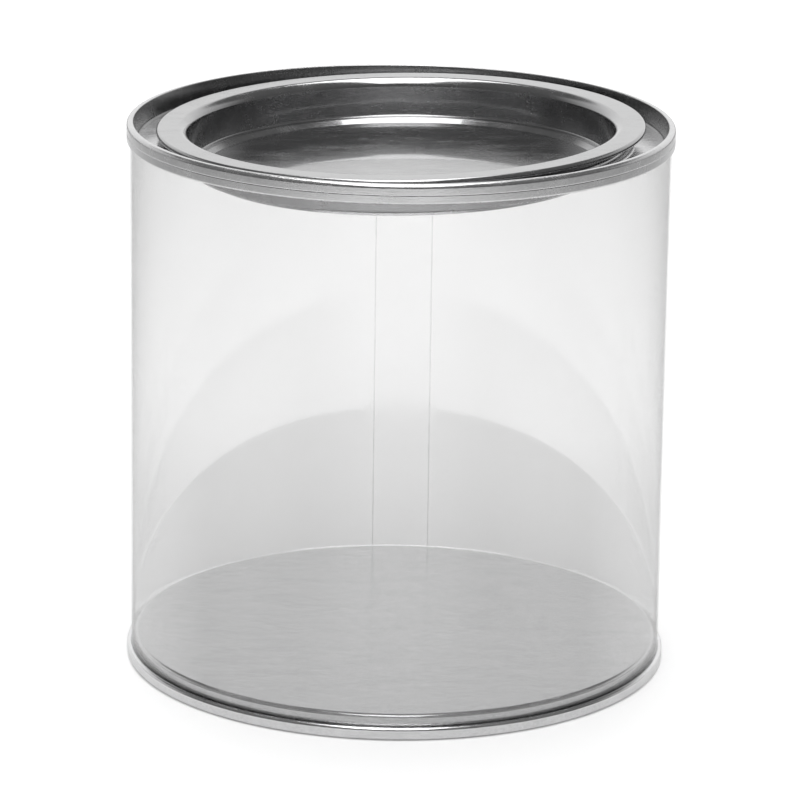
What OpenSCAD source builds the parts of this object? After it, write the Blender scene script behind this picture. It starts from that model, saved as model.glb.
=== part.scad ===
// Clear-walled tin with a plug lid, in millimetres, Z up.
// A clear plastic sheet is rolled into a tube and lapped at the back. Its two ends are folded
// into rolled double seams: a tinplate base below and a tinplate neck ring above. A one-piece
// tinplate lid plugs the neck, and stands slightly cocked, with its low side on the ring's crest.
// The origin is at the centre of the base rim's underside.

/* [Tin] */
// Height from the base rim to the top of the neck ring
tin_h = 109.5; // [60:0.1:200]
// Outside diameter of the clear wall
wall_od = 105.6; // [90:0.1:160]
// Thickness of the clear sheet
wall_t = 0.3; // [0.25:0.05:0.4]
// Thickness of the tinplate
tin_t = 0.25; // [0.2:0.01:0.3]

/* [Lap in the clear wall] */
// Width of the overlap where the sheet's two ends are joined
lap_w = 11.95; // [6:0.05:20]
// Direction of the overlap's middle round the tin, in degrees, 90 being the back
lap_dir = 89.05; // [0:0.05:360]
// Bare height left between the overlap's outer layer and each seam
lap_notch = 0.2; // [0.1:0.05:1]

/* [Rolled seams] */
// Height of the neck ring's seam
ring_seam_h = 4.25; // [3.4:0.05:4.9]
// Height of the base's seam
base_seam_h = 2.65; // [2.4:0.05:4]
// Clearance between neighbouring layers inside a seam
seam_gap = 0.135; // [0.1:0.005:0.2]
// Clearance between the clear wall and the tinplate wall inside it
wall_fit = 0.05; // [0.02:0.01:0.1]
// Inside radius of a rim's outer corner, which lies round the clear sheet's fold
rim_out_r = 0.75; // [0.6:0.05:0.8]
// Inside radius of a rim's inner corner
rim_in_r = 0.15; // [0.1:0.05:0.3]
// Depth of the roller's mark round the neck ring's seam
mark_depth = 0.06; // [0:0.01:0.1]
// Height of the roller's mark below the ring's top
mark_drop = 2.3; // [1.6:0.05:2.7]

/* [Base] */
// Height of the base panel's upper face above the rim
panel_h = 4.85; // [3.8:0.05:8]
// Outside radius of the base panel's edge
panel_edge_r = 0.8; // [0.5:0.05:1.2]

/* [Neck ring] */
// Depth of the channel's floor below the ring's top
channel_d = 4.1; // [3.8:0.05:6]
// Width of the channel's floor, from the crest to the outer wall
channel_w = 6.25; // [5.6:0.05:9]
// Amount that the ring's outer wall leans in from its top to the channel's floor
wall_lean = 0.55; // [0:0.05:0.7]
// Height of the crest above the channel's floor
crest_h = 2.15; // [2.1:0.05:3]
// Length of the neck, from the crest to its hemmed lower edge
neck_h = 4.35; // [3:0.05:8]
// Outside radius of the hem at the neck's lower edge
neck_hem_r = 0.5; // [0.4:0.05:0.6]
// Fillet radius at both sides of the channel's floor
channel_r = 0.5; // [0.3:0.05:0.7]

/* [Lid] */
// Clearance round the lid's plug in the neck, on the radius
plug_fit = 0.15; // [0.13:0.01:0.3]
// Amount by which the plug is narrower at its foot, on the radius
plug_taper = 0.25; // [0.2:0.05:0.5]
// Depth of the lid's panel below the top of its lip
plug_d = 8.65; // [5:0.05:14]
// Width of the flange outside the plug
flange_w = 5.9; // [5:0.05:6.4]
// Angle at which the flange slopes down to its edge, in degrees
flange_slope = 0; // [0:0.5:10]
// Outside radius of the rounded lip between flange and plug
lip_r = 1.9; // [1:0.05:1.95]
// Clearance between the lip's underside and the crest that it wraps, on the radius
lip_fit = 0.05; // [0.02:0.01:0.1]
// Height of the curled edge of the flange
hem_h = 1.2; // [0.8:0.05:1.3]
// Width of the flange's edge that is curled under
hem_w = 1.6; // [1:0.05:2]
// Height of the step between the plug's foot and the panel
step_h = 0.9; // [0.2:0.05:1.2]
// Width of the sloping step
step_w = 1.2; // [0.8:0.05:2]
// Inside radius of the corner at the plug's foot
foot_r = 0.5; // [0.25:0.05:0.7]
// Tilt of the lid as it stands, in degrees
lid_tilt = 1.16; // [0:0.01:1.6]
// Direction in which the lid's raised side points, in degrees round the tin
lid_tilt_dir = -2; // [-180:1:180]
// Clearance between the crest and the lid's flange where it rests
rest_gap = 0.02; // [0.01:0.01:0.1]

/* [Hidden] */

// Straight steps in a quarter turn of a profile, and sides of a full turn about the axis
arc_n = 6;
turn_n = 180;
// How far one solid is sunk into its neighbour in a union, so that they join cleanly
join = 0.05;

// Radii of the layers in a seam, from the inside out
wall_ro = wall_od / 2;
wall_ri = wall_ro - wall_t;
chuck_r = wall_ri - wall_fit;
cover_ri = wall_ro + seam_gap;
cover_ro = cover_ri + tin_t;
hook_ri = cover_ro + seam_gap;
hook_ro = hook_ri + wall_t;
skin_ri = hook_ro + seam_gap;

// Inside radii of the cover hook's two bends, the gentler one on the seam's outside
cover_bend_r = 0.7 * (skin_ri - cover_ro);
cover_tuck_r = skin_ri - cover_ro - cover_bend_r;
// Half width of the clear sheet's fold, and how deep it lies in the rim
hook_fold_r = (hook_ri - wall_ro) / 2;
hook_fold_d = tin_t + seam_gap + wall_t + hook_fold_r;
// Space left above the end of the clear sheet's hook
hook_end_gap = 3 * seam_gap;

// Neck ring, measured on the faces that show
channel_z = tin_h - channel_d;
channel_ro = chuck_r - tin_t - wall_lean;
crest_r = lip_r - tin_t - lip_fit;
crest_ro = channel_ro - channel_w;
neck_ri = crest_ro - 2 * crest_r;
crest_z = channel_z + crest_h;
neck_z = crest_z - neck_h;
neck_mid_z = crest_z - neck_h / 2;
neck_hem_up = 1.2 * neck_hem_r;

// Lid, measured from the underside of its lip's top
plug_ro = neck_ri - plug_fit;
lid_r = plug_ro + flange_w;
lid_panel_z = tin_t - plug_d;
lip_c = [plug_ro - tin_t + lip_r, tin_t - lip_r];
foot_ro = plug_ro - plug_taper;
// Height of the lid above the pivot at mid neck, so that its sloping flange just clears the crest
// on its low side
low_slope = flange_slope + lid_tilt;
seat_h = ((neck_ri + crest_r) * sin(low_slope) + (crest_z - crest_r - neck_mid_z) * cos(low_slope)
    + rest_gap - lip_fit - lip_c[0] * sin(flange_slope)) / cos(flange_slope) - lip_c[1];

// Points of an arc about c, and a list in the opposite order
function arc(c, r, a0, a1) = let (n = ceil(arc_n * abs(a1 - a0) / 90))
    [for (i = [0:n]) c + r * [cos(a0 + (a1 - a0) * i / n), sin(a0 + (a1 - a0) * i / n)]];
function back(pts) = [for (i = [len(pts) - 1:-1:0]) pts[i]];
// Turns heights measured down from the top into heights above the base rim
function from_top(pts) = [for (p = pts) [p[0], tin_h - p[1]]];

// One face of a seam's tinplate, from its inner wall round the rim to the tip of the cover hook.
// Heights run from the rim inwards. o is 0 for the face next to the clear sheet, and the sheet's
// thickness for the face that shows, which also carries the roller's mark.
function seam_face(o, h, mark, drop) = concat(
    arc([chuck_r + rim_in_r, rim_in_r + tin_t], rim_in_r + o, 180, 270),
    arc([skin_ri - rim_out_r, rim_out_r + tin_t], rim_out_r + o, 270, 360),
    o > 0 && mark > 0 ? [[skin_ri + o, drop - mark], [skin_ri + o - mark, drop],
        [skin_ri + o, drop + mark]] : [],
    arc([skin_ri - cover_bend_r, h - tin_t - cover_bend_r], cover_bend_r + o, 0, 90),
    arc([cover_ro + cover_tuck_r, h - tin_t - cover_tuck_r], cover_tuck_r + o, 90, 180),
    [[cover_ro - o, hook_fold_d + join]]
);

// One face of the clear sheet's folded end, from the tip of its hook to the plain wall. f is 0
// for the outer face of the wall, and the sheet's thickness for the inner one.
function hook_face(f, h) = concat(
    [[hook_ri + f, h - tin_t - hook_end_gap]],
    arc([wall_ro + hook_fold_r, hook_fold_d], hook_fold_r + f, 0, -180)
);
function wall_face(f) = concat(
    hook_face(f, base_seam_h),
    back(from_top(hook_face(f, ring_seam_h)))
);

// One face of the base, from the axis outwards. o is 0 for the upper face.
function base_face(o) = concat(
    [[0, panel_h - o]],
    arc([chuck_r - panel_edge_r, panel_h - panel_edge_r], panel_edge_r - o, 90, 0),
    seam_face(o, base_seam_h, 0, 0)
);

// One face of the neck ring, from the hem at the neck's foot to the seam. o is 0 for the face
// that is hidden next to the clear wall, and the sheet's thickness for the one that shows.
function ring_face(o) = let (
    hem_c = [neck_ri + neck_hem_r, neck_z + neck_hem_r],
    hem_face_r = neck_hem_r - tin_t + o,
    floor_face_r = channel_r + tin_t - o
) concat(
    [hem_c + [hem_face_r, neck_hem_up]],
    arc(hem_c, hem_face_r, 0, -180),
    arc([neck_ri + crest_r, crest_z - crest_r], crest_r - tin_t + o, 180, 0),
    arc([crest_ro + channel_r, channel_z + channel_r], floor_face_r, 180, 270),
    arc([channel_ro - channel_r, channel_z + channel_r], floor_face_r, -90, 0),
    from_top(seam_face(o, ring_seam_h, mark_depth, mark_drop))
);

// One face of the lid, from the axis outwards. o is 0 for the underside.
function lid_face(o) = let (
    foot_c = [foot_ro - tin_t - foot_r, lid_panel_z + step_h + foot_r],
    panel_face_z = lid_panel_z - tin_t + o,
    hem_r = hem_h / 2,
    hem_run = lid_r - hem_r - lip_c[0],
    hem_rise = (lip_r - hem_r - hem_run * sin(flange_slope)) / cos(flange_slope),
    hem_c = lip_c + [hem_run, hem_rise],
    edge_a = 90 - flange_slope
) concat(
    [[0, panel_face_z], [foot_c[0] - foot_r - step_w, panel_face_z]],
    [[foot_c[0] - foot_r, panel_face_z + step_h]],
    arc(foot_c, foot_r + tin_t - o, -90, 0),
    arc(lip_c, lip_r - tin_t + o, 180, edge_a),
    arc(hem_c, hem_r - tin_t + o, edge_a, -90),
    [[lid_r - hem_w, hem_c[1] - (hem_r - tin_t + o)]]
);

// Turns the outline between two faces about the axis
module spun(face_a, face_b) {
    rotate_extrude($fn = turn_n) polygon(concat(face_a, back(face_b)));
}

// Clear tube with both ends folded outwards, and the outer layer of its lap
module clear_wall() {
    lap_angle = lap_w / wall_ro * 180 / PI;
    lap_z0 = base_seam_h + lap_notch;
    lap_z1 = tin_h - ring_seam_h - lap_notch;
    color([0.88, 0.93, 0.95, 0.35]) union() {
        spun(wall_face(0), wall_face(wall_t));
        rotate([0, 0, lap_dir - lap_angle / 2])
            rotate_extrude(angle = lap_angle, $fn = turn_n)
                translate([wall_ro - join, lap_z0]) square([wall_t + join, lap_z1 - lap_z0]);
    }
}

// Base: a raised panel, the wall round it and the seam, in one piece of tinplate
module base_end() {
    color([0.75, 0.75, 0.76]) spun(base_face(0), base_face(tin_t));
}

// Neck ring: seam, outer wall, channel, crest and hemmed neck, in one piece of tinplate
module neck_ring() {
    color([0.72, 0.72, 0.73]) spun(ring_face(0), ring_face(tin_t));
}

// Plug lid: dished panel, plug and hemmed flange, in one piece, cocked about the middle of the neck
module plug_lid() {
    color([0.78, 0.78, 0.79]) translate([0, 0, neck_mid_z])
        rotate([0, 0, lid_tilt_dir]) rotate([0, -lid_tilt, 0]) rotate([0, 0, -lid_tilt_dir])
            translate([0, 0, seat_h]) spun(lid_face(0), lid_face(tin_t));
}

clear_wall();
base_end();
neck_ring();
plug_lid();
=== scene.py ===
"""Looks of a clear-walled tin with a tinplate plug lid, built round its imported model.

Each piece is turned from a thin outline, given its thickness and placed in its mesh. Lengths are in
metres in the model's own frame: +Z is up and the centre of the base rim's underside is the origin.
"""

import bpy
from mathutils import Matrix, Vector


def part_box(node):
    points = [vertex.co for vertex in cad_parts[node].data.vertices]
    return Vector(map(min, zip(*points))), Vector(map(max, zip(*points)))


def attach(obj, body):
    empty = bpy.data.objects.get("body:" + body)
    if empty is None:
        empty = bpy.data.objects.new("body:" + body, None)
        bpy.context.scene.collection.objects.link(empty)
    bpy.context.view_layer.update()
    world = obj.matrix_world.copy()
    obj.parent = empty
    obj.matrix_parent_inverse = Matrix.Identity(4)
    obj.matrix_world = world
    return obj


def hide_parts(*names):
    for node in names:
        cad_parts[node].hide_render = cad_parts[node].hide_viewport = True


bl_info = {
    "name": "Clear-Walled Tin",
    "version": (1, 0, 0),
    "blender": (4, 5, 0),
    "location": "View3D > Sidebar > Tin",
    "description": "Adds a clear-walled tin with a tinplate plug lid, and a plain stage for it",
    "category": "Add Mesh",
}

import math

import bmesh
import bpy
from mathutils import Matrix, Vector

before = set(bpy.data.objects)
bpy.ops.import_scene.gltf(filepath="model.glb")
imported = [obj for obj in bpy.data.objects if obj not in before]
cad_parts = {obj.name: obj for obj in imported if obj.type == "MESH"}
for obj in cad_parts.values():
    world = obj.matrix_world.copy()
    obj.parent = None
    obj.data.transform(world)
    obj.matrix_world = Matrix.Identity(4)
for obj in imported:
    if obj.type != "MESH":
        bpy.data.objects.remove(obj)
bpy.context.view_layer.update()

MM = 0.001
RIM_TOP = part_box("neck_ring")[1]
NECK_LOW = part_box("neck_ring")[0]
PANEL_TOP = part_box("base_end")[1]

# Faces round the axis, faces along a fillet, and cuts up the clear wall
TURN_STEPS = 256
FILLET_STEPS = 8
WALL_CUTS = 24
# Points that lie nearer to each other than this are one
MERGE = 0.0005 * MM

# Cycles a metre, along each axis, of the clouds and the shallow waves in the tinplate
CLOUD_SCALE = (90, 260, 260)
WAVE_SCALE = (70, 70, 70)
# Cycles a metre of the lumps in the bond's bead
LUMP_SCALE = 900.0
# The values between which most of a noise lies, and those between which a cloud turns hazy
NOISE_SPAN = (0.3, 0.7)
HAZY_SPAN = (0.35, 0.75)
# Brightness that the grain gives the tinplate, and what the clouds add to it
GRAIN_SHADE = (0.9, 1.06)
CLOUD_SHADE = (-0.04, 0.04)
# The same for how much the tinplate blurs, as shares of its roughness
GRAIN_BLUR = (0.8, 1.2)
CLOUD_BLUR = (-0.15, 0.5)
# How far inside the channel's edge the painted shade on the ring's wall starts, and how far inside it the
# shade is full
PAINTED_SHADE_FOOT = (0.45 * MM, 0.05 * MM)
# How far below the ring's top the painted shade is still full, and how far below it the shade ends
PAINTED_SHADE_TOP = (0.5 * MM, 0.2 * MM)
# Share of the bead that is cloudy
BEAD_COVER = (0.05, 0.14)
# How steeply a clear face turns to a mirror as it is seen at a slant
SLANT_POWER = 5.0

# How far towards the back a direction points where the backdrop starts and where it is whole
BACKDROP_SPAN = (0.1, 0.93)
# How far up a direction points where the walls end and where the ceiling starts
CEILING_SPAN = (0.45, 0.55)


def length(name, description, default):
    """A size in metres that a user can change."""
    return bpy.props.FloatProperty(
        name=name, description=description, default=default, subtype="DISTANCE", unit="LENGTH", precision=5
    )


def angle(name, description, degrees):
    """An angle that a user can change."""
    return bpy.props.FloatProperty(
        name=name, description=description, default=math.radians(degrees), subtype="ANGLE", unit="ROTATION"
    )


def share(name, description, default):
    """A plain number from 0 to 1 that a user can change."""
    return bpy.props.FloatProperty(name=name, description=description, default=default, min=0, max=1)


def colour(name, description, default):
    """A linear colour that a user can change."""
    return bpy.props.FloatVectorProperty(
        name=name, description=description, default=default, subtype="COLOR", min=0, max=1
    )


def point(name, description, default):
    """A point in metres that a user can change."""
    return bpy.props.FloatVectorProperty(
        name=name, description=description, default=default, subtype="XYZ", unit="LENGTH"
    )


class TinSheets(bpy.types.PropertyGroup):
    """Sizes that several pieces share."""

    height: length("Height", "Height of the neck ring's top", RIM_TOP.z)
    wall_radius: length("Wall Radius", "Outside radius of the clear wall", 52.8 * MM)
    wall_thickness: length("Wall Thickness", "Thickness of the clear sheet", 0.3 * MM)
    tin_thickness: length("Tin Thickness", "Thickness of the tinplate", 0.25 * MM)
    seam_gap: length("Seam Gap", "Clearance between the layers of a seam", 0.135 * MM)
    wall_fit: length("Wall Fit", "Clearance between the clear wall and the metal inside it", 0.05 * MM)
    rim_outer: length("Rim Outer Fillet", "Inside radius of a rim's outer corner", 0.75 * MM)
    rim_inner: length("Rim Inner Fillet", "Inside radius of a rim's inner corner", 0.15 * MM)
    bend: share("Bend", "Share of the cover hook's width that its outer bend takes", 0.7)
    hook_tip: length("Hook Tip", "Height from the clear sheet's fold to the cover hook's tip", 0.31 * MM)
    ring_seam: length("Ring Seam", "Height of the neck ring's seam", 4.25 * MM)
    base_seam: length("Base Seam", "Height of the base's seam", 2.65 * MM)


class TinWall(bpy.types.PropertyGroup):
    """Sizes and finish of the clear wall."""

    lap_width: length("Lap Width", "Width of the overlap at the back", 11.95 * MM)
    lap_direction: angle("Lap Direction", "Where the overlap's middle lies round the tin", 89.05)
    lap_notch: length("Lap Notch", "Height left bare between the overlap's bead and each seam", 0.2 * MM)
    lap_fade: length("Lap Fade", "Width over which the overlap's haze fades out", 2 * MM)
    bead_width: length("Bead Width", "Width of the bond's bead along the overlap's edges", 0.25 * MM)
    bead_colour: colour("Bead Colour", "Colour of the bond's bead", (0.35, 0.36, 0.37))
    bead_roughness: share("Bead Roughness", "How much the bead blurs what it mirrors", 0.3)
    tint: colour("Tint", "Light that each face lets through", (0.967, 0.967, 0.967))
    outer_gloss: share("Outer Gloss", "Share of light that the outer face mirrors head on", 0.05)
    inner_gloss: share("Inner Gloss", "Share of light that the inner face mirrors head on", 0.4)
    back_gloss: share("Back Gloss", "Share of light that a face mirrors back into the sheet", 0.03)
    slant_gloss: share("Slant Gloss", "Share of light that a face mirrors besides, at a full slant", 0.9)
    roughness: share("Roughness", "How much the sheet blurs what it mirrors", 0.05)
    lap_roughness: share("Lap Roughness", "How much the overlap blurs what it mirrors", 0.12)


class TinBase(bpy.types.PropertyGroup):
    """Sizes of the base."""

    panel_height: length("Panel Height", "Height of the panel above the rim", PANEL_TOP.z)
    panel_fillet: length("Panel Fillet", "Outside radius of the panel's edge", 0.8 * MM)


class TinRing(bpy.types.PropertyGroup):
    """Sizes of the neck ring."""

    channel_depth: length("Channel Depth", "Depth of the channel's floor below the top", 4.1 * MM)
    channel_width: length("Channel Width", "Width of the channel's floor", 6.25 * MM)
    channel_fillet: length("Channel Fillet", "Fillet at both sides of the channel's floor", 0.5 * MM)
    lean: length("Lean", "How far the outer wall leans in at its foot", 0.55 * MM)
    crest_height: length("Crest Height", "Height of the crest above the channel's floor", 2.15 * MM)
    neck_foot: length("Neck Foot", "Height of the neck's hemmed lower edge", NECK_LOW.z)
    hem_radius: length("Hem Radius", "Outside radius of the hem at the neck's foot", 0.5 * MM)
    hem_height: length("Hem Height", "Height of the hem at the neck's foot", 1.1 * MM)
    mark_drop: length("Mark Drop", "Height of the roller's mark below the top", 2.3 * MM)
    mark_depth: length("Mark Depth", "Depth of the roller's mark", 0.06 * MM)


class TinLid(bpy.types.PropertyGroup):
    """Sizes of the plug lid and how it stands in the neck."""

    plug_fit: length("Plug Fit", "Clearance round the plug, on the radius", 0.15 * MM)
    taper: length("Taper", "How much the plug narrows to its foot, on the radius", 0.25 * MM)
    depth: length("Depth", "Depth of the panel below the lip", 8.65 * MM)
    flange_width: length("Flange Width", "Width of the flange outside the plug", 5.9 * MM)
    slope: angle("Slope", "How far the flange slopes down to its edge", 0.0)
    lip_radius: length("Lip Radius", "Outside radius of the lip between flange and plug", 1.9 * MM)
    lip_fit: length("Lip Fit", "Clearance between the lip's underside and the crest", 0.05 * MM)
    hem_height: length("Hem Height", "Height of the flange's curled edge", 1.2 * MM)
    hem_width: length("Hem Width", "Width of the flange's edge that is curled under", 1.6 * MM)
    step_height: length("Step Height", "Height of the step round the panel", 0.9 * MM)
    step_width: length("Step Width", "Width of the sloping step", 1.2 * MM)
    step_fillet: length("Step Fillet", "Fillet at both edges of the step", 0.3 * MM)
    foot_fillet: length("Foot Fillet", "Inside radius of the corner at the plug's foot", 0.5 * MM)
    tilt: angle("Tilt", "How far the lid stands cocked", 1.16)
    tilt_direction: angle("Tilt Direction", "Where the lid's raised side points", -2.0)
    rest_gap: length("Rest Gap", "Clearance where the lid rests on the crest", 0.02 * MM)


class TinFinish(bpy.types.PropertyGroup):
    """Finish of the tinplate, and the painted shade on the neck ring's wall inside its seam."""

    ring_metal: colour("Ring Metal", "Colour of the neck ring's tinplate", (0.75, 0.75, 0.755))
    base_metal: colour("Base Metal", "Colour of the base's tinplate", (0.86, 0.86, 0.865))
    lid_metal: colour("Lid Metal", "Colour of the tinplate under the lid's lacquer", (0.35, 0.35, 0.355))
    ring_roughness: share("Ring Roughness", "How much the neck ring blurs what it mirrors", 0.2)
    base_roughness: share("Base Roughness", "How much the base blurs what it mirrors", 0.16)
    lid_roughness: share("Lid Roughness", "How much the lid blurs what it mirrors", 0.2)
    film: share("Film", "Weight of the lid's lacquer", 0.8)
    film_roughness: share("Film Roughness", "How much the lid's lacquer blurs what it mirrors", 0.04)
    film_index: bpy.props.FloatProperty(
        name="Film Index", description="Refractive index of the lid's lacquer", default=2.4, min=1, max=4
    )
    # Painted shade: how much darker the colour of the neck ring's wall inside its seam is made
    painted_wall_shade: share("Painted Wall Shade", "How much the neck ring's wall inside its seam is dulled", 0.6)
    ring_wave: length("Ring Wave", "Depth of the neck ring's shallow waves", 0.03 * MM)
    wave: length("Wave", "Depth of the shallow waves in the base and the lid", 0.02 * MM)
    grain: share("Grain", "Strength of the rolled grain", 0.8)
    grain_length: length("Grain Length", "Length of the rolled grain's streaks", 2.4 * MM)
    grain_width: length("Grain Width", "Width of the rolled grain's streaks", 0.3 * MM)
    grain_depth: length("Grain Depth", "Depth of the rolled grain", 0.012 * MM)


class TinStage(bpy.types.PropertyGroup):
    """Camera, floor and lights."""

    target: point("Target", "Point that the camera looks at", (0.478 * MM, 0, 52.331 * MM))
    distance: length("Distance", "Distance from the camera to its target", 912.483 * MM)
    elevation: angle("Elevation", "Height of the camera above the horizon", 16.215)
    roll: angle("Roll", "How far the camera is turned about its line of sight", 0.774)
    lens: bpy.props.FloatProperty(name="Lens", description="Focal length in millimetres", default=206.04)
    sensor: bpy.props.FloatProperty(
        name="Sensor", description="Width of the camera's sensor in millimetres", default=36
    )
    view_end: length("View End", "Distance to which the camera sees", 50.0)

    floor_width: length("Floor Width", "Width of the floor", 12.0)
    # Painted shade: the floor's colour darkens far to each side and beyond the table's front, so that the
    # metal mirrors a dark studio there
    floor_colour: colour("Floor Colour", "Colour of the floor round the tin", (0.93, 0.93, 0.93))
    side_shade_colour: colour("Side Colour", "Colour of the floor far to each side", (0.4, 0.4, 0.4))
    front_shade_colour: colour("Front Colour", "Colour of the floor beyond the table's front", (0.05, 0.05, 0.05))
    side_start: length("Side Start", "Distance aside at which the floor starts to darken", 0.12)
    side_end: length("Side End", "Distance aside at which the floor is dark", 0.45)
    front_start: length("Front Start", "Distance in front at which the table ends", 0.65)
    front_end: length("Front End", "Distance in front at which the floor beyond the table starts", 0.75)
    near_glow: share("Near Glow", "Light added round the tin for the camera", 0.3)
    side_glow: share("Side Glow", "Light added far to each side for the camera", 0.8)

    backdrop: share("Backdrop", "Brightness of the backdrop, as the metal mirrors it", 0.95)
    dark_side: share("Dark Side", "Brightness of the side behind the camera, as the metal mirrors it", 0.13)
    ceiling: share("Ceiling", "Brightness of the ceiling, as the metal mirrors it", 0.15)
    ambient: share("Ambient", "Brightness of the light that falls from all round", 0.4)
    lamp_place: point("Lamp Place", "Middle of the lamp's face, which shines down", (-0.05, -0.125, 2.0))
    lamp_width: length("Lamp Width", "Width of the lamp", 1.0)
    lamp_depth: length("Lamp Depth", "Size of the lamp from front to back", 3.55)
    lamp_radiance: bpy.props.FloatProperty(
        name="Lamp Radiance", description="Brightness of the lamp's face, where 1 is white",
        default=3.2, min=0,
    )


def sizes(group):
    """One of the tin's groups of sizes, as the scene holds it."""
    return getattr(bpy.context.scene, group)


def chuck_radius():
    """Outside radius of the tinplate that stands inside the clear wall."""
    tin = sizes("tin_sheets")
    return tin.wall_radius - tin.wall_thickness - tin.wall_fit


def channel_radius():
    """Radius at which the neck ring's leaning wall meets its channel's floor."""
    return chuck_radius() - sizes("tin_sheets").tin_thickness - sizes("tin_ring").lean


def crest_radius():
    """Outside radius of the ring's crest in section, which lies under the lid's lip."""
    lid = sizes("tin_lid")
    return lid.lip_radius - sizes("tin_sheets").tin_thickness - lid.lip_fit


def neck_radius():
    """Inside radius of the neck."""
    return channel_radius() - sizes("tin_ring").channel_width - 2 * crest_radius()


def channel_height():
    """Height of the channel's floor."""
    return sizes("tin_sheets").height - sizes("tin_ring").channel_depth


def fold_height():
    """Height from a seam's rim to the clear sheet's fold inside it."""
    tin = sizes("tin_sheets")
    return tin.tin_thickness + tin.seam_gap + tin.wall_thickness


def round_off(bm, vert, fillet):
    """Rounds the corner of a wire at vert to a fillet radius."""
    ways = [edge.other_vert(vert).co - vert.co for edge in vert.link_edges]
    turn = math.pi - ways[0].angle(ways[1])
    bmesh.ops.bevel(
        bm, geom=[vert], affect="VERTICES", offset=fillet * math.tan(turn / 2), offset_type="OFFSET",
        segments=FILLET_STEPS, profile=0.5, material=-1,
    )


def draw_outline(bm, corners):
    """Draws a wire through corners, each (radius, height) or (radius, height, fillet radius)."""
    verts = [bm.verts.new((corner[0], 0, corner[1])) for corner in corners]
    for pair in zip(verts, verts[1:]):
        bm.edges.new(pair)
    for vert, corner in zip(verts, corners):
        if len(corner) == 3:
            round_off(bm, vert, corner[2])
    bmesh.ops.remove_doubles(bm, verts=bm.verts, dist=MERGE)


def turn_outline(bm):
    """Turns the wire once round the axis into a closed sheet with its faces in one sense."""
    bmesh.ops.spin(
        bm, geom=[*bm.verts, *bm.edges], cent=(0, 0, 0), axis=(0, 0, 1), dvec=(0, 0, 0),
        angle=math.tau, steps=TURN_STEPS, use_merge=True,
    )
    bmesh.ops.remove_doubles(bm, verts=bm.verts, dist=MERGE)
    bmesh.ops.recalc_face_normals(bm, faces=bm.faces)


def faces_in(face):
    """Whether a face looks towards the axis."""
    return face.normal.xy.dot(face.calc_center_median().xy) < 0


def finish_piece(bm, name, node, body, materials):
    """Makes the mesh a smooth piece that rides on body and stands for node."""
    for face in bm.faces:
        face.smooth = True
    mesh = bpy.data.meshes.new(name)
    bm.to_mesh(mesh)
    bm.free()
    piece = bpy.data.objects.new(name, mesh)
    bpy.context.scene.collection.objects.link(piece)
    for material in materials:
        mesh.materials.append(material)
    piece.modifiers.new("flat_faces_lead", "WEIGHTED_NORMAL")
    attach(piece, body)
    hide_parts(node)


def seam_corners(edge, way, seam_height, mark=()):
    """Corners of a seam's tinplate from its inner wall to the tip of its cover hook.

    edge is the height of the rim and way is 1 where the seam lies above it and -1 where it lies below.
    mark is the drop and depth of a roller's mark. The line runs along the face next to the clear sheet.
    """
    tin = sizes("tin_sheets")
    cover = tin.wall_radius + tin.seam_gap + tin.tin_thickness
    skin = cover + 2 * tin.seam_gap + tin.wall_thickness
    bend = tin.bend * (skin - cover)
    rim = edge + way * tin.tin_thickness
    far = edge + way * (seam_height - tin.tin_thickness)
    marked = []
    if mark:
        drop, depth = mark
        half = 2 * depth
        ease = 1.5 * depth
        marked = [
            (skin, edge + way * (drop - half), ease), (skin - depth, edge + way * drop, depth),
            (skin, edge + way * (drop + half), ease),
        ]
    return [
        (chuck_radius(), rim, tin.rim_inner), (skin, rim, tin.rim_outer), *marked, (skin, far, bend),
        (cover, far, skin - cover - bend), (cover, edge + way * (fold_height() + tin.hook_tip)),
    ]


def feed(tree, socket, value):
    """Links value to socket if it is a socket itself, and otherwise sets it."""
    if isinstance(value, bpy.types.NodeSocket):
        tree.links.new(value, socket)
    else:
        socket.default_value = value


def feed_all(tree, sockets, values):
    """Links or sets each of the sockets."""
    for socket, value in zip(sockets, values):
        feed(tree, socket, value)


def node(tree, kind, operation=None, **inputs):
    """Adds a node, with inputs named as on it with _ for a space, and returns it."""
    made = tree.nodes.new(kind)
    if operation:
        made.operation = operation
    for name, value in inputs.items():
        feed(tree, made.inputs[name.replace("_", " ")], value)
    return made


def mix(tree, factor, a, b):
    """A Mix node's number, which is a at 0 and b at 1."""
    made = node(tree, "ShaderNodeMix")
    feed_all(tree, (made.inputs[0], made.inputs[2], made.inputs[3]), (factor, a, b))
    return made.outputs[0]


def mix_colours(tree, factor, a, b):
    """A Mix node's colour, which is a at 0 and b at 1."""
    made = node(tree, "ShaderNodeMix")
    made.data_type = "RGBA"
    feed_all(tree, (made.inputs[0], made.inputs[6], made.inputs[7]), (factor, a, b))
    return made.outputs[2]


def mix_shaders(tree, factor, a, b):
    """A Mix Shader node's output, which is a at 0 and b at 1."""
    made = node(tree, "ShaderNodeMixShader")
    feed_all(tree, made.inputs, (factor, a, b))
    return made.outputs[0]


def math_node(tree, operation, *values, clamp=False):
    """A Math node's output."""
    made = node(tree, "ShaderNodeMath", operation)
    made.use_clamp = clamp
    feed_all(tree, made.inputs, values)
    return made.outputs[0]


def remap(tree, value, span, result):
    """A Map Range node's output, clamped: the ends of span become those of result."""
    made = node(tree, "ShaderNodeMapRange")
    feed_all(tree, made.inputs, (value, *span, *result))
    return made.outputs[0]


def split(tree, vector):
    """The three parts of a vector."""
    return node(tree, "ShaderNodeSeparateXYZ", Vector=vector).outputs


def from_axis(tree, x, y):
    """Distance from the Z axis."""
    squares = [math_node(tree, "MULTIPLY", part, part) for part in (x, y)]
    return math_node(tree, "SQRT", math_node(tree, "ADD", *squares))


def object_place(tree):
    """Where a point lies in its piece's own coordinates."""
    return node(tree, "ShaderNodeTexCoord").outputs["Object"]


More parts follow.
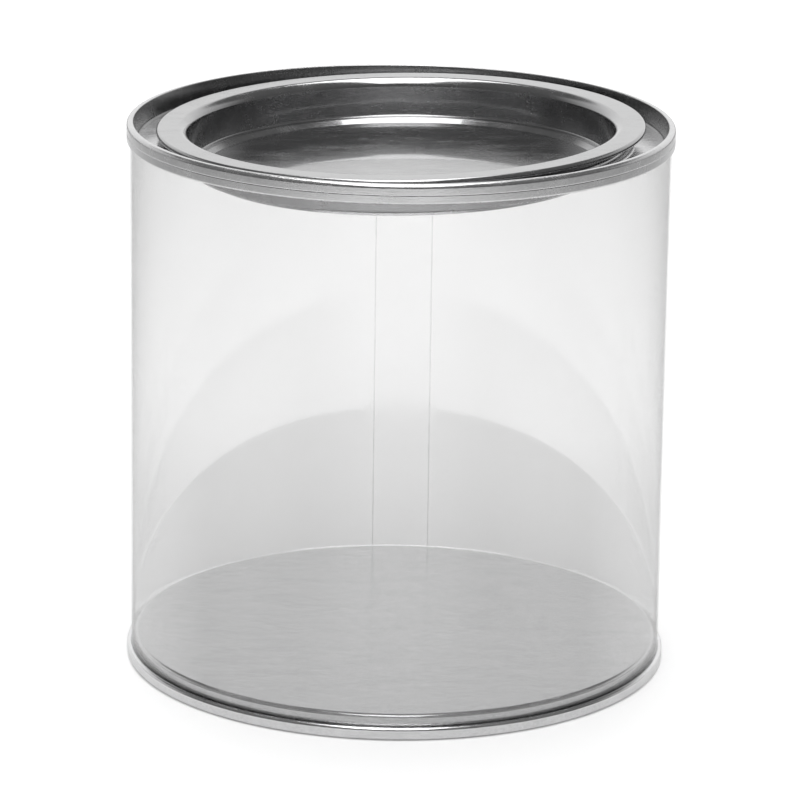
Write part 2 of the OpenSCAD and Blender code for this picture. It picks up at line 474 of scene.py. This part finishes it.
def seen_rays(tree):
    """1 for what the camera sees, straight or through something clear, and 0 for other rays."""
    rays = node(tree, "ShaderNodeLightPath").outputs
    return math_node(tree, "MAXIMUM", rays["Is Camera Ray"], rays["Is Transmission Ray"])


def backfacing(tree):
    """1 on the back of a face."""
    return node(tree, "ShaderNodeNewGeometry").outputs["Backfacing"]


def noise(tree, coordinates, scale, detail):
    """Noise with its own number of cycles a metre along each axis."""
    placed = node(tree, "ShaderNodeMapping", Vector=coordinates, Scale=scale).outputs[0]
    return node(
        tree, "ShaderNodeTexNoise", Vector=placed, Scale=1.0, Detail=detail, Roughness=0.6
    ).outputs[0]


def new_material(name):
    """An empty node material and its tree and output."""
    material = bpy.data.materials.new(name)
    material.use_nodes = True
    tree = material.node_tree
    tree.nodes.clear()
    return material, tree, tree.nodes.new("ShaderNodeOutputMaterial").inputs["Surface"]


def inside_seam(tree, place):
    """1 on the neck ring's wall inside its seam, above the channel, and 0 elsewhere: where the ring's
    painted shade goes.
    """
    tin = sizes("tin_sheets")
    x, y, z = split(tree, place)
    away = from_axis(tree, x, y)
    foot = [channel_radius() - inset for inset in PAINTED_SHADE_FOOT]
    sheet = (tin.wall_radius - tin.wall_thickness, tin.wall_radius)
    top = [tin.height - drop for drop in PAINTED_SHADE_TOP]
    past_floor = remap(tree, away, foot, (0.0, 1.0))
    inside_wall = remap(tree, away, sheet, (1.0, 0.0))
    under_rim = remap(tree, z, top, (1.0, 0.0))
    return math_node(tree, "MULTIPLY", math_node(tree, "MULTIPLY", past_floor, inside_wall), under_rim)


def tinplate(name, metal, roughness, wave, film=0.0, painted_wall_shade=0.0):
    """Bright tinplate with the fine grain that the rolls leave along the sheet.

    wave is how deep the sheet's shallow waves are, which bend what it mirrors. film is the weight of a
    clear lacquer that mirrors sharply. painted_wall_shade is how much darker the wall inside the seam is
    painted, as shade.
    """
    finish = sizes("tin_finish")
    material, tree, surface = new_material(name)
    place = object_place(tree)
    across = 1 / finish.grain_width
    grain = noise(tree, place, (1 / finish.grain_length, across, across), 2.0)
    cloud = noise(tree, place, CLOUD_SCALE, 2.0)
    waves = noise(tree, place, WAVE_SCALE, 1.0)

    shade = math_node(
        tree, "ADD", remap(tree, grain, NOISE_SPAN, GRAIN_SHADE),
        remap(tree, cloud, NOISE_SPAN, CLOUD_SHADE),
    )
    # Painted shade: the colour of the neck ring's wall inside its seam is made darker
    if painted_wall_shade:
        darkened = remap(tree, inside_seam(tree, place), (0.0, 1.0), (1.0, 1 - painted_wall_shade))
        shade = math_node(tree, "MULTIPLY", shade, darkened)
    shaded = node(tree, "ShaderNodeVectorMath", "SCALE", Scale=shade)
    shaded.inputs[0].default_value = metal
    blurs = [
        remap(tree, grain, NOISE_SPAN, [blur * roughness for blur in GRAIN_BLUR]),
        remap(tree, cloud, HAZY_SPAN, [blur * roughness for blur in CLOUD_BLUR]),
    ]

    bent = node(tree, "ShaderNodeBump", Strength=1.0, Distance=wave, Height=waves).outputs[0]
    rolled = node(
        tree, "ShaderNodeBump", Strength=finish.grain, Distance=finish.grain_depth, Height=grain,
        Normal=bent,
    ).outputs[0]
    shine = node(
        tree, "ShaderNodeBsdfPrincipled", Metallic=1.0, Base_Color=shaded.outputs[0],
        Roughness=math_node(tree, "ADD", *blurs), Normal=rolled, Coat_Weight=film,
        Coat_Roughness=finish.film_roughness, Coat_IOR=finish.film_index, Coat_Normal=bent,
    )
    feed(tree, surface, shine.outputs[0])
    return material


def clear_sheet(name, gloss):
    """One face of the clear sheet: it lets light straight through and mirrors a little, more at a slant.

    The overlap's bond is hazy, so the sheet blurs what it mirrors there.
    """
    wall = sizes("tin_wall")
    material, tree, surface = new_material(name)
    head_on = mix(tree, backfacing(tree), gloss, wall.back_gloss)
    slant = node(tree, "ShaderNodeLayerWeight", Blend=0.5).outputs["Facing"]
    slant = math_node(tree, "MULTIPLY", math_node(tree, "POWER", slant, SLANT_POWER), wall.slant_gloss)
    mirrored = math_node(tree, "ADD", head_on, slant, clamp=True)

    turn = math.pi / 2 - wall.lap_direction
    turned = node(tree, "ShaderNodeMapping", Vector=object_place(tree), Rotation=(0, 0, turn)).outputs[0]
    aside, back = split(tree, turned)[:2]
    half = wall.lap_width / 2
    in_lap = remap(tree, math_node(tree, "ABSOLUTE", aside), (half, half + wall.lap_fade), (1.0, 0.0))
    at_back = remap(tree, back, (0.0, sizes("tin_sheets").wall_radius / 2), (0.0, 1.0))
    haze = mix(tree, math_node(tree, "MULTIPLY", in_lap, at_back), wall.roughness, wall.lap_roughness)

    see = node(tree, "ShaderNodeBsdfTransparent", Color=(*wall.tint, 1))
    shine = node(tree, "ShaderNodeBsdfAnisotropic", Color=(1, 1, 1, 1), Roughness=haze)
    feed(tree, surface, mix_shaders(tree, mirrored, see.outputs[0], shine.outputs[0]))
    return material


def lap_bead():
    """Dried bead of the bond along the overlap's edges: cloudy and faintly grey."""
    wall = sizes("tin_wall")
    material, tree, surface = new_material("lap_bead")
    lumps = node(
        tree, "ShaderNodeTexNoise", Vector=object_place(tree), Scale=LUMP_SCALE, Detail=2.0
    ).outputs[0]
    see = node(tree, "ShaderNodeBsdfTransparent")
    cloudy = node(
        tree, "ShaderNodeBsdfPrincipled", Base_Color=(*wall.bead_colour, 1), Roughness=wall.bead_roughness
    )
    cover = remap(tree, lumps, NOISE_SPAN, BEAD_COVER)
    feed(tree, surface, mix_shaders(tree, cover, see.outputs[0], cloudy.outputs[0]))
    return material


def draw_strip(low, high, start, sweep):
    """Draws an upright strip on the wall's outside, from a start angle through a sweep."""
    tin = sizes("tin_sheets")
    bm = bmesh.new()
    verts = [bm.verts.new((tin.wall_radius, 0, z)) for z in (low, high)]
    bm.edges.new(verts)
    bmesh.ops.rotate(bm, verts=verts, cent=(0, 0, 0), matrix=Matrix.Rotation(start, 3, "Z"))
    bmesh.ops.spin(
        bm, geom=[*bm.verts, *bm.edges], cent=(0, 0, 0), axis=(0, 0, 1), dvec=(0, 0, 0), angle=sweep,
        steps=max(2, round(TURN_STEPS * sweep / math.tau)), use_merge=False,
    )
    bmesh.ops.recalc_face_normals(bm, faces=bm.faces)
    way = 1 if faces_in(next(iter(bm.faces))) else -1
    bmesh.ops.solidify(bm, geom=bm.faces, thickness=way * tin.wall_thickness)
    return bm


def add_beads():
    """Adds the dried bead along both edges of the overlap."""
    tin = sizes("tin_sheets")
    wall = sizes("tin_wall")
    low = tin.base_seam + wall.lap_notch
    high = tin.height - tin.ring_seam - wall.lap_notch
    sweep = wall.lap_width / tin.wall_radius
    bead = wall.bead_width / tin.wall_radius
    right = wall.lap_direction - sweep / 2
    material = lap_bead()
    for name, start in (("right", right), ("left", right + sweep - bead)):
        bm = draw_strip(low, high, start, bead)
        finish_piece(bm, "lap_bead_" + name, "clear_wall", "can", [material])


class TIN_OT_add_clear_wall(bpy.types.Operator):
    """Add the rolled clear wall with its folded rims and the beads of its overlap"""

    bl_idname = "tin.add_clear_wall"
    bl_label = "Add Clear Wall"

    def execute(self, context):
        """Build the wall."""
        tin = sizes("tin_sheets")
        wall = sizes("tin_wall")
        fold = (tin.seam_gap + tin.tin_thickness + tin.seam_gap) / 2
        hook = tin.wall_radius + 2 * fold
        low = fold_height()
        high = tin.height - low
        tip = tin.tin_thickness + 3 * tin.seam_gap
        bm = bmesh.new()
        draw_outline(bm, [
            (hook, tin.base_seam - tip), (hook, low, fold), (tin.wall_radius, low, fold),
            (tin.wall_radius, high, fold), (hook, high, fold), (hook, tin.height - tin.ring_seam + tip),
        ])
        longest = max(bm.edges, key=lambda edge: edge.calc_length())
        bmesh.ops.subdivide_edges(bm, edges=[longest], cuts=WALL_CUTS)
        turn_outline(bm)
        bmesh.ops.solidify(bm, geom=bm.faces, thickness=tin.wall_thickness)
        for face in bm.faces:
            face.material_index = int(faces_in(face))
        faces = [
            clear_sheet("clear_sheet_outside", wall.outer_gloss),
            clear_sheet("clear_sheet_inside", wall.inner_gloss),
        ]
        finish_piece(bm, "clear_wall_sheet", "clear_wall", "can", faces)
        add_beads()
        return {"FINISHED"}


class TIN_OT_add_base(bpy.types.Operator):
    """Add the tinplate base with its raised panel and rolled seam"""

    bl_idname = "tin.add_base"
    bl_label = "Add Base"

    def execute(self, context):
        """Build the base."""
        tin = sizes("tin_sheets")
        base = sizes("tin_base")
        finish = sizes("tin_finish")
        bm = bmesh.new()
        draw_outline(bm, [
            (0, base.panel_height), (chuck_radius(), base.panel_height, base.panel_fillet),
            *seam_corners(0, 1, tin.base_seam),
        ])
        turn_outline(bm)
        bmesh.ops.solidify(bm, geom=bm.faces, thickness=-tin.tin_thickness)
        finish_piece(
            bm, "base_end_tin", "base_end", "can",
            [tinplate("tinplate_base", finish.base_metal, finish.base_roughness, finish.wave)],
        )
        return {"FINISHED"}


class TIN_OT_add_ring(bpy.types.Operator):
    """Add the tinplate neck ring with its seam, channel, crest and neck"""

    bl_idname = "tin.add_ring"
    bl_label = "Add Neck Ring"

    def execute(self, context):
        """Build the ring."""
        tin = sizes("tin_sheets")
        ring = sizes("tin_ring")
        finish = sizes("tin_finish")
        t = tin.tin_thickness
        outer = channel_radius()
        crest_out = outer - ring.channel_width
        neck = neck_radius()
        floor = channel_height()
        crest = floor + ring.crest_height
        crest_bend = crest_radius() - t
        floor_bend = ring.channel_fillet + t
        hem = ring.hem_radius - t
        foot = ring.neck_foot
        bm = bmesh.new()
        draw_outline(bm, [
            (neck + t + 2 * hem, foot + ring.hem_height), (neck + t + 2 * hem, foot + t, hem),
            (neck + t, foot + t, hem), (neck + t, crest - t, crest_bend),
            (crest_out - t, crest - t, crest_bend), (crest_out - t, floor - t, floor_bend),
            (outer + t, floor - t, floor_bend),
            *seam_corners(tin.height, -1, tin.ring_seam, (ring.mark_drop, ring.mark_depth)),
        ])
        turn_outline(bm)
        bmesh.ops.solidify(bm, geom=bm.faces, thickness=t)
        # The ring's tinplate carries painted shade on its wall inside the seam
        plate = tinplate(
            "tinplate_ring", finish.ring_metal, finish.ring_roughness, finish.ring_wave,
            painted_wall_shade=finish.painted_wall_shade,
        )
        finish_piece(bm, "neck_ring_tin", "neck_ring", "can", [plate])
        return {"FINISHED"}


def lid_corners():
    """Corners of the lid's underside, with its lip's top at a height of the tinplate's thickness."""
    lid = sizes("tin_lid")
    t = sizes("tin_sheets").tin_thickness
    plug = neck_radius() - lid.plug_fit
    edge = plug + lid.flange_width
    foot = plug - lid.taper - t - lid.foot_fillet
    step_top = foot - lid.foot_fillet
    panel = -lid.depth
    curl = lid.hem_height / 2
    hem = curl - t
    run = edge - curl - (plug - t + lid.lip_radius)
    drop = (lid.lip_radius - curl - run * math.sin(lid.slope)) / math.cos(lid.slope)
    hem_z = t - lid.lip_radius + drop
    top = hem / math.cos(lid.slope) + hem_z
    rise = math.tan(lid.slope)
    return [
        (0, panel), (step_top - lid.step_width, panel, lid.step_fillet),
        (step_top, panel + lid.step_height, lid.step_fillet),
        (foot + lid.foot_fillet + t, panel + lid.step_height, lid.foot_fillet + t),
        (plug, top + (edge - curl - plug) * rise, lid.lip_radius - t),
        (edge - t, top - hem * rise, hem), (edge - t, hem_z - hem, hem),
        (edge - lid.hem_width, hem_z - hem),
    ]


def lid_stand():
    """Where the lid stands: cocked about the neck's middle, with its low side resting on the crest."""
    ring = sizes("tin_ring")
    lid = sizes("tin_lid")
    t = sizes("tin_sheets").tin_thickness
    neck = neck_radius()
    crest = channel_height() + ring.crest_height
    pivot = (crest + ring.neck_foot) / 2
    lip = neck - lid.plug_fit - t + lid.lip_radius
    low = lid.slope + lid.tilt
    seat = (neck + crest_radius()) * math.sin(low) + (crest - crest_radius() - pivot) * math.cos(low)
    seat += lid.rest_gap - lid.lip_fit - lip * math.sin(lid.slope)
    seat = seat / math.cos(lid.slope) - t + lid.lip_radius
    return (
        Matrix.Translation((0, 0, pivot)) @ Matrix.Rotation(lid.tilt_direction, 4, "Z")
        @ Matrix.Rotation(-lid.tilt, 4, "Y") @ Matrix.Rotation(-lid.tilt_direction, 4, "Z")
        @ Matrix.Translation((0, 0, seat))
    )


class TIN_OT_add_lid(bpy.types.Operator):
    """Add the plug lid, cocked in the neck as it stands"""

    bl_idname = "tin.add_lid"
    bl_label = "Add Plug Lid"

    def execute(self, context):
        """Build the lid."""
        finish = sizes("tin_finish")
        bm = bmesh.new()
        draw_outline(bm, lid_corners())
        turn_outline(bm)
        bmesh.ops.solidify(bm, geom=bm.faces, thickness=-sizes("tin_sheets").tin_thickness)
        bmesh.ops.transform(bm, matrix=lid_stand(), verts=bm.verts)
        plate = tinplate(
            "tinplate_lid", finish.lid_metal, finish.lid_roughness, finish.wave, film=finish.film
        )
        finish_piece(bm, "plug_lid_tin", "plug_lid", "lid", [plate])
        return {"FINISHED"}


def studio_world():
    """A small photo studio: a white backdrop, a dark side behind the camera and a dim ceiling."""
    stage = sizes("tin_stage")
    world = bpy.data.worlds.new("studio")
    bpy.context.scene.world = world
    world.use_nodes = True
    tree = world.node_tree
    tree.nodes.clear()
    x, y, z = split(tree, node(tree, "ShaderNodeTexCoord").outputs["Generated"])
    back = math_node(tree, "DIVIDE", y, from_axis(tree, x, y))
    walls = remap(tree, back, BACKDROP_SPAN, (stage.dark_side, stage.backdrop))
    mirrored = mix(tree, remap(tree, z, CEILING_SPAN, (0.0, 1.0)), walls, stage.ceiling)
    glossy = node(tree, "ShaderNodeLightPath").outputs["Is Glossy Ray"]
    strength = mix(tree, seen_rays(tree), mix(tree, glossy, stage.ambient, mirrored), 1.0)
    light = node(tree, "ShaderNodeBackground", Color=(1, 1, 1, 1), Strength=strength)
    output = tree.nodes.new("ShaderNodeOutputWorld")
    feed(tree, output.inputs["Surface"], light.outputs[0])


def floor_material():
    """Pale floor: a plain matt colour, filled up to white for what sees it, and clear from below."""
    stage = sizes("tin_stage")
    material, tree, surface = new_material("pale_floor")
    x, y = split(tree, object_place(tree))[:2]
    # Painted shade: darker far to each side and nearly black beyond the table's front, for the metal to
    # mirror
    side = remap(tree, math_node(tree, "ABSOLUTE", x), (stage.side_start, stage.side_end), (0.0, 1.0))
    front = remap(tree, y, (-stage.front_end, -stage.front_start), (1.0, 0.0))
    shade = mix_colours(tree, side, (*stage.floor_colour, 1), (*stage.side_shade_colour, 1))
    shade = mix_colours(tree, front, shade, (*stage.front_shade_colour, 1))
    matt = node(tree, "ShaderNodeBsdfDiffuse", Color=shade)
    glow = math_node(tree, "MAXIMUM", mix(tree, side, stage.near_glow, stage.side_glow), front)
    fill = node(
        tree, "ShaderNodeEmission", Color=(1, 1, 1, 1),
        Strength=math_node(tree, "MULTIPLY", seen_rays(tree), glow),
    )
    lit = node(tree, "ShaderNodeAddShader")
    feed_all(tree, lit.inputs, (matt.outputs[0], fill.outputs[0]))
    see = node(tree, "ShaderNodeBsdfTransparent")
    feed(tree, surface, mix_shaders(tree, backfacing(tree), lit.outputs[0], see.outputs[0]))
    return material


def add_camera():
    """Adds the camera and looks through it."""
    stage = sizes("tin_stage")
    up = Vector((0, math.sin(stage.elevation), math.cos(stage.elevation)))
    back = Vector((0, -math.cos(stage.elevation), math.sin(stage.elevation)))
    side = Vector((math.cos(stage.roll), 0, 0)) + up * math.sin(stage.roll)
    turn = Matrix((side, back.cross(side), back)).transposed().to_4x4()
    camera = bpy.data.cameras.new("camera")
    camera.lens = stage.lens
    camera.sensor_width = stage.sensor
    camera.clip_end = stage.view_end
    eye = bpy.data.objects.new("camera", camera)
    bpy.context.scene.collection.objects.link(eye)
    eye.matrix_world = Matrix.Translation(Vector(stage.target) + back * stage.distance) @ turn
    bpy.context.scene.camera = eye


def add_floor():
    """Adds the floor."""
    bm = bmesh.new()
    bmesh.ops.create_grid(bm, x_segments=1, y_segments=1, size=sizes("tin_stage").floor_width / 2)
    mesh = bpy.data.meshes.new("floor")
    bm.to_mesh(mesh)
    bm.free()
    floor = bpy.data.objects.new("floor", mesh)
    bpy.context.scene.collection.objects.link(floor)
    mesh.materials.append(floor_material())


def add_lamp():
    """Adds the soft rectangular lamp over the tin, whose face shines straight down."""
    stage = sizes("tin_stage")
    lamp = bpy.data.lights.new("overhead", "AREA")
    lamp.shape = "RECTANGLE"
    lamp.size = stage.lamp_width
    lamp.size_y = stage.lamp_depth
    lamp.energy = stage.lamp_radiance * math.pi * stage.lamp_width * stage.lamp_depth
    holder = bpy.data.objects.new("overhead", lamp)
    bpy.context.scene.collection.objects.link(holder)
    holder.location = stage.lamp_place
    holder.visible_camera = False


class TIN_OT_add_stage(bpy.types.Operator):
    """Add the camera, the pale floor, the studio and the soft lamp"""

    bl_idname = "tin.add_stage"
    bl_label = "Add Stage"

    def execute(self, context):
        """Set the stage."""
        context.scene.view_settings.view_transform = "Standard"
        add_camera()
        add_floor()
        studio_world()
        add_lamp()
        return {"FINISHED"}


class TIN_PT_tin(bpy.types.Panel):
    """Lists the tin's pieces and the stage"""

    bl_idname = "TIN_PT_tin"
    bl_label = "Clear-Walled Tin"
    bl_space_type = "VIEW_3D"
    bl_region_type = "UI"
    bl_category = "Tin"

    def draw(self, context):
        """Draw one button for each operator."""
        for operator in OPERATORS:
            self.layout.operator(operator.bl_idname)


GROUPS = {
    "tin_sheets": TinSheets,
    "tin_wall": TinWall,
    "tin_base": TinBase,
    "tin_ring": TinRing,
    "tin_lid": TinLid,
    "tin_finish": TinFinish,
    "tin_stage": TinStage,
}
OPERATORS = (
    TIN_OT_add_clear_wall,
    TIN_OT_add_base,
    TIN_OT_add_ring,
    TIN_OT_add_lid,
    TIN_OT_add_stage,
)


def register():
    """Register the groups, the operators and the panel."""
    for name, group in GROUPS.items():
        bpy.utils.register_class(group)
        setattr(bpy.types.Scene, name, bpy.props.PointerProperty(type=group))
    for operator in OPERATORS:
        bpy.utils.register_class(operator)
    bpy.utils.register_class(TIN_PT_tin)


def unregister():
    """Remove what register added."""
    bpy.utils.unregister_class(TIN_PT_tin)
    for operator in reversed(OPERATORS):
        bpy.utils.unregister_class(operator)
    for name, group in reversed(GROUPS.items()):
        delattr(bpy.types.Scene, name)
        bpy.utils.unregister_class(group)


def main():
    """Make the stage and every piece."""
    register()
    bpy.ops.tin.add_stage()
    bpy.ops.tin.add_clear_wall()
    bpy.ops.tin.add_base()
    bpy.ops.tin.add_ring()
    bpy.ops.tin.add_lid()


if __name__ == "__main__":
    main()
